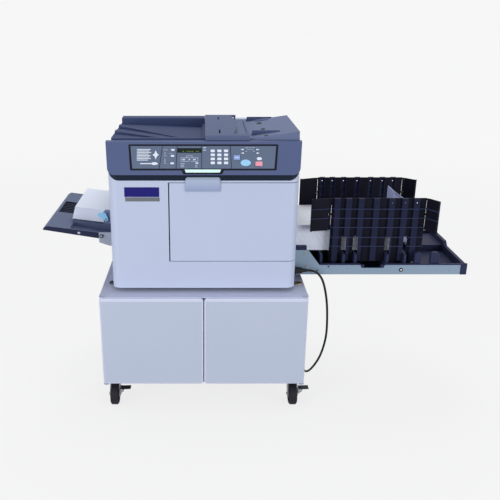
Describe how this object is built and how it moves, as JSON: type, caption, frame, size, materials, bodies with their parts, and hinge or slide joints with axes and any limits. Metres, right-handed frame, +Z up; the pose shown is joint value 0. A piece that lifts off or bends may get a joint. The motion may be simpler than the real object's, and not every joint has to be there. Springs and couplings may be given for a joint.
{
  "type": "digital duplicator on a cabinet",
  "caption": "Floor-standing duplicator with a document feeder on its scanner lid, a feed tray, a delivery tray with fences, and a two-door cabinet on casters",
  "frame": {"origin": "on the floor, under the centre of the cabinet's footprint", "axes": "+X to the user's right, towards the delivery tray; the front faces -Y; +Z up"},
  "size_m": [1.4602, 0.752, 0.969],
  "materials": {
    "cabinet_laminate": "satin laminate",
    "casing_plastic": "fine moulded texture",
    "slate_plastic": "fine moulded texture",
    "chin_plastic": "satin",
    "bezel_film": "semi-gloss film",
    "key_white": "semi-gloss",
    "key_blue": "semi-gloss",
    "key_red": "semi-gloss",
    "key_violet": "semi-gloss",
    "display_lens": "gloss",
    "light_lens": "gloss",
    "clear_glass": "polished",
    "white_pad": "matte",
    "chassis_steel": "plated",
    "frame_steel": "satin paint",
    "pin_steel": "turned",
    "caster_steel": "zinc plated",
    "wheel_rubber": "matte",
    "foot_rubber": "matte",
    "roller_rubber": "matte",
    "tray_plastic": "fine moulded texture",
    "black_plastic": "satin",
    "lever_plastic": "semi-gloss",
    "stop_plastic": "satin",
    "lead_rubber": "satin"
  },
  "bodies": {
    "machine": {"cabinet_case": "cabinet_laminate", "hinge_pins": "pin_steel", "caster_plates": "caster_steel", "chassis": "chassis_steel", "machine_feet": "foot_rubber", "left_cover": "casing_plastic", "right_cover": "casing_plastic", "rear_cover": "casing_plastic", "front_cover": "casing_plastic", "chin_strip": "chin_plastic", "panel_housing": "slate_plastic", "panel_bezel": "bezel_film", "display": "display_lens", "light_bar": "light_lens", "flat_keys": "key_white", "scanner_base": "casing_plastic", "platen_glass": "clear_glass", "delivery_frames": "frame_steel", "delivery_deck": "black_plastic", "inlet": "black_plastic", "connector": "lead_rubber", "cord": "lead_rubber", "coil": "lead_rubber", "plug": "lead_rubber"},
    "cabinet_door_left": {"cabinet_door_left": "cabinet_laminate"},
    "cabinet_door_right": {"cabinet_door_right": "cabinet_laminate"},
    "caster_front_left": {"caster_fork_front_left": "caster_steel"},
    "wheel_front_left": {"caster_wheel_front_left": "wheel_rubber"},
    "brake_front_left": {"caster_brake_front_left": "caster_steel"},
    "caster_front_right": {"caster_fork_front_right": "caster_steel"},
    "wheel_front_right": {"caster_wheel_front_right": "wheel_rubber"},
    "brake_front_right": {"caster_brake_front_right": "caster_steel"},
    "caster_rear_left": {"caster_fork_rear_left": "caster_steel"},
    "wheel_rear_left": {"caster_wheel_rear_left": "wheel_rubber"},
    "caster_rear_right": {"caster_fork_rear_right": "caster_steel"},
    "wheel_rear_right": {"caster_wheel_rear_right": "wheel_rubber"},
    "front_door": {"front_door": "casing_plastic"},
    "print_drum": {"print_drum": "chassis_steel"},
    "press_roller": {"press_roller": "roller_rubber"},
    "start_key": {"start_key": "key_blue"},
    "stop_key": {"stop_key": "key_red"},
    "mode_key": {"mode_key": "key_violet"},
    "cross_pad": {"cross_pad": "key_white"},
    "scanner_lid": {"adf_lid": "slate_plastic", "platen_pad": "white_pad"},
    "feeder_cover": {"feeder_cover": "slate_plastic"},
    "document_guide_front": {"document_guide_front": "slate_plastic"},
    "document_guide_rear": {"document_guide_rear": "slate_plastic"},
    "feed_tray": {"tray_brackets": "frame_steel", "feed_tray": "tray_plastic"},
    "feed_guide_front": {"feed_guide_front": "slate_plastic"},
    "feed_guide_rear": {"feed_guide_rear": "slate_plastic"},
    "feed_guide_lever": {"feed_guide_lever": "lever_plastic"},
    "fence_front": {"fence_front": "black_plastic"},
    "fence_rear": {"fence_rear": "black_plastic"},
    "flap_front_left": {"flap_front_left": "black_plastic"},
    "flap_front_right": {"flap_front_right": "black_plastic"},
    "flap_rear_left": {"flap_rear_left": "black_plastic"},
    "flap_rear_right": {"flap_rear_right": "black_plastic"},
    "end_stop": {"end_stop": "stop_plastic"}
  },
  "joints": [
    {"name": "cabinet_door_left_hinge", "type": "hinge", "parent": "machine", "child": "cabinet_door_left", "pos_m": [-0.341, -0.301, 0], "axis": [0, 0, -1], "range_deg": [0, 110]},
    {"name": "cabinet_door_right_hinge", "type": "hinge", "parent": "machine", "child": "cabinet_door_right", "pos_m": [0.341, -0.301, 0], "axis": [0, 0, 1], "range_deg": [0, 110]},
    {"name": "caster_swivel_front_left", "type": "hinge", "parent": "machine", "child": "caster_front_left", "pos_m": [-0.318, -0.23, 0], "axis": [0, 0, 1], "continuous": true},
    {"name": "caster_roll_front_left", "type": "hinge", "parent": "caster_front_left", "child": "wheel_front_left", "pos_m": [-0.318, -0.258, 0.039], "axis": [1, 0, 0], "continuous": true},
    {"name": "caster_brake_front_left", "type": "hinge", "parent": "caster_front_left", "child": "brake_front_left", "pos_m": [-0.291, -0.258, 0.058], "axis": [0, 1, 0], "range_deg": [0, 25]},
    {"name": "caster_swivel_front_right", "type": "hinge", "parent": "machine", "child": "caster_front_right", "pos_m": [0.318, -0.23, 0], "axis": [0, 0, 1], "continuous": true},
    {"name": "caster_roll_front_right", "type": "hinge", "parent": "caster_front_right", "child": "wheel_front_right", "pos_m": [0.318, -0.258, 0.039], "axis": [1, 0, 0], "continuous": true},
    {"name": "caster_brake_front_right", "type": "hinge", "parent": "caster_front_right", "child": "brake_front_right", "pos_m": [0.345, -0.258, 0.058], "axis": [0, 1, 0], "range_deg": [0, 25]},
    {"name": "caster_swivel_rear_left", "type": "hinge", "parent": "machine", "child": "caster_rear_left", "pos_m": [-0.318, 0.23, 0], "axis": [0, 0, 1], "continuous": true},
    {"name": "caster_roll_rear_left", "type": "hinge", "parent": "caster_rear_left", "child": "wheel_rear_left", "pos_m": [-0.318, 0.202, 0.039], "axis": [1, 0, 0], "continuous": true},
    {"name": "caster_swivel_rear_right", "type": "hinge", "parent": "machine", "child": "caster_rear_right", "pos_m": [0.318, 0.23, 0], "axis": [0, 0, 1], "continuous": true},
    {"name": "caster_roll_rear_right", "type": "hinge", "parent": "caster_rear_right", "child": "wheel_rear_right", "pos_m": [0.318, 0.202, 0.039], "axis": [1, 0, 0], "continuous": true},
    {"name": "front_door_hinge", "type": "hinge", "parent": "machine", "child": "front_door", "pos_m": [0.304, -0.229, 0], "axis": [0, 0, 1], "range_deg": [0, 100]},
    {"name": "print_drum_spin", "type": "hinge", "parent": "machine", "child": "print_drum", "pos_m": [0, 0.017, 0.736], "axis": [0, 1, 0], "continuous": true},
    {"name": "press_roller_spin", "type": "hinge", "parent": "machine", "child": "press_roller", "pos_m": [0, 0.017, 0.6275], "axis": [0, 1, 0], "continuous": true},
    {"name": "start_key_press", "type": "slide", "parent": "machine", "child": "start_key", "axis": [0, 0.848, -0.53], "range_m": [0, 0.0014], "stiffness_N_per_m": 400, "springref_m": -0.0004},
    {"name": "stop_key_press", "type": "slide", "parent": "machine", "child": "stop_key", "axis": [0, 0.848, -0.53], "range_m": [0, 0.0014], "stiffness_N_per_m": 400, "springref_m": -0.0004},
    {"name": "mode_key_press", "type": "slide", "parent": "machine", "child": "mode_key", "axis": [0, 0.848, -0.53], "range_m": [0, 0.0014], "stiffness_N_per_m": 400, "springref_m": -0.0004},
    {"name": "cross_pad_press", "type": "slide", "parent": "machine", "child": "cross_pad", "axis": [0, 0.848, -0.53], "range_m": [0, 0.0014], "stiffness_N_per_m": 400, "springref_m": -0.0004},
    {"name": "scanner_lid_hinge", "type": "hinge", "parent": "machine", "child": "scanner_lid", "pos_m": [0, 0.19, 0.934], "axis": [-1, 0, 0], "range_deg": [0, 70]},
    {"name": "feeder_cover_hinge", "type": "hinge", "parent": "scanner_lid", "child": "feeder_cover", "pos_m": [0.06, 0.168, 0.952], "axis": [-1, 0, 0], "range_deg": [0, 65]},
    {"name": "document_guide_front_slide", "type": "slide", "parent": "scanner_lid", "child": "document_guide_front", "axis": [0, 1, 0], "range_m": [0, 0.098]},
    {"name": "document_guide_rear_slide", "type": "slide", "parent": "scanner_lid", "child": "document_guide_rear", "axis": [0, -1, 0], "range_m": [0, 0.098]},
    {"name": "feed_tray_lift", "type": "slide", "parent": "machine", "child": "feed_tray", "axis": [0, 0, 1], "range_m": [-0.065, 0.04]},
    {"name": "feed_guide_front_slide", "type": "slide", "parent": "feed_tray", "child": "feed_guide_front", "axis": [0, 1, 0], "range_m": [-0.02, 0.078]},
    {"name": "feed_guide_rear_slide", "type": "slide", "parent": "feed_tray", "child": "feed_guide_rear", "axis": [0, -1, 0], "range_m": [-0.02, 0.078]},
    {"name": "feed_guide_lever_pivot", "type": "hinge", "parent": "feed_guide_front", "child": "feed_guide_lever", "pos_m": [-0.34, -0.12, 0.652], "axis": [0, 1, 0], "range_deg": [0, 25]},
    {"name": "fence_front_slide", "type": "slide", "parent": "machine", "child": "fence_front", "axis": [0, 1, 0], "range_m": [-0.006, 0.099]},
    {"name": "fence_rear_slide", "type": "slide", "parent": "machine", "child": "fence_rear", "axis": [0, -1, 0], "range_m": [-0.006, 0.099]},
    {"name": "flap_front_left_hinge", "type": "hinge", "parent": "fence_front", "child": "flap_front_left", "pos_m": [0.435, -0.13375, 0], "axis": [0, 0, 1], "range_deg": [-50, 79]},
    {"name": "flap_front_right_hinge", "type": "hinge", "parent": "fence_front", "child": "flap_front_right", "pos_m": [0.769, -0.13375, 0], "axis": [0, 0, 1], "range_deg": [-31, 98]},
    {"name": "flap_rear_left_hinge", "type": "hinge", "parent": "fence_rear", "child": "flap_rear_left", "pos_m": [0.435, 0.16775, 0], "axis": [0, 0, 1], "range_deg": [-110, 19]},
    {"name": "flap_rear_right_hinge", "type": "hinge", "parent": "fence_rear", "child": "flap_rear_right", "pos_m": [0.769, 0.16775, 0], "axis": [0, 0, 1], "range_deg": [-4, 135]},
    {"name": "end_stop_slide", "type": "slide", "parent": "machine", "child": "end_stop", "axis": [1, 0, 0], "range_m": [-0.2, 0.02]}
  ],
  "couplings": [
    {"joint": "press_roller_spin", "follows": "print_drum_spin", "ratio": -3.5},
    {"joint": "document_guide_rear_slide", "follows": "document_guide_front_slide", "ratio": 1},
    {"joint": "feed_guide_rear_slide", "follows": "feed_guide_front_slide", "ratio": 1},
    {"joint": "fence_rear_slide", "follows": "fence_front_slide", "ratio": 1}
  ]
}
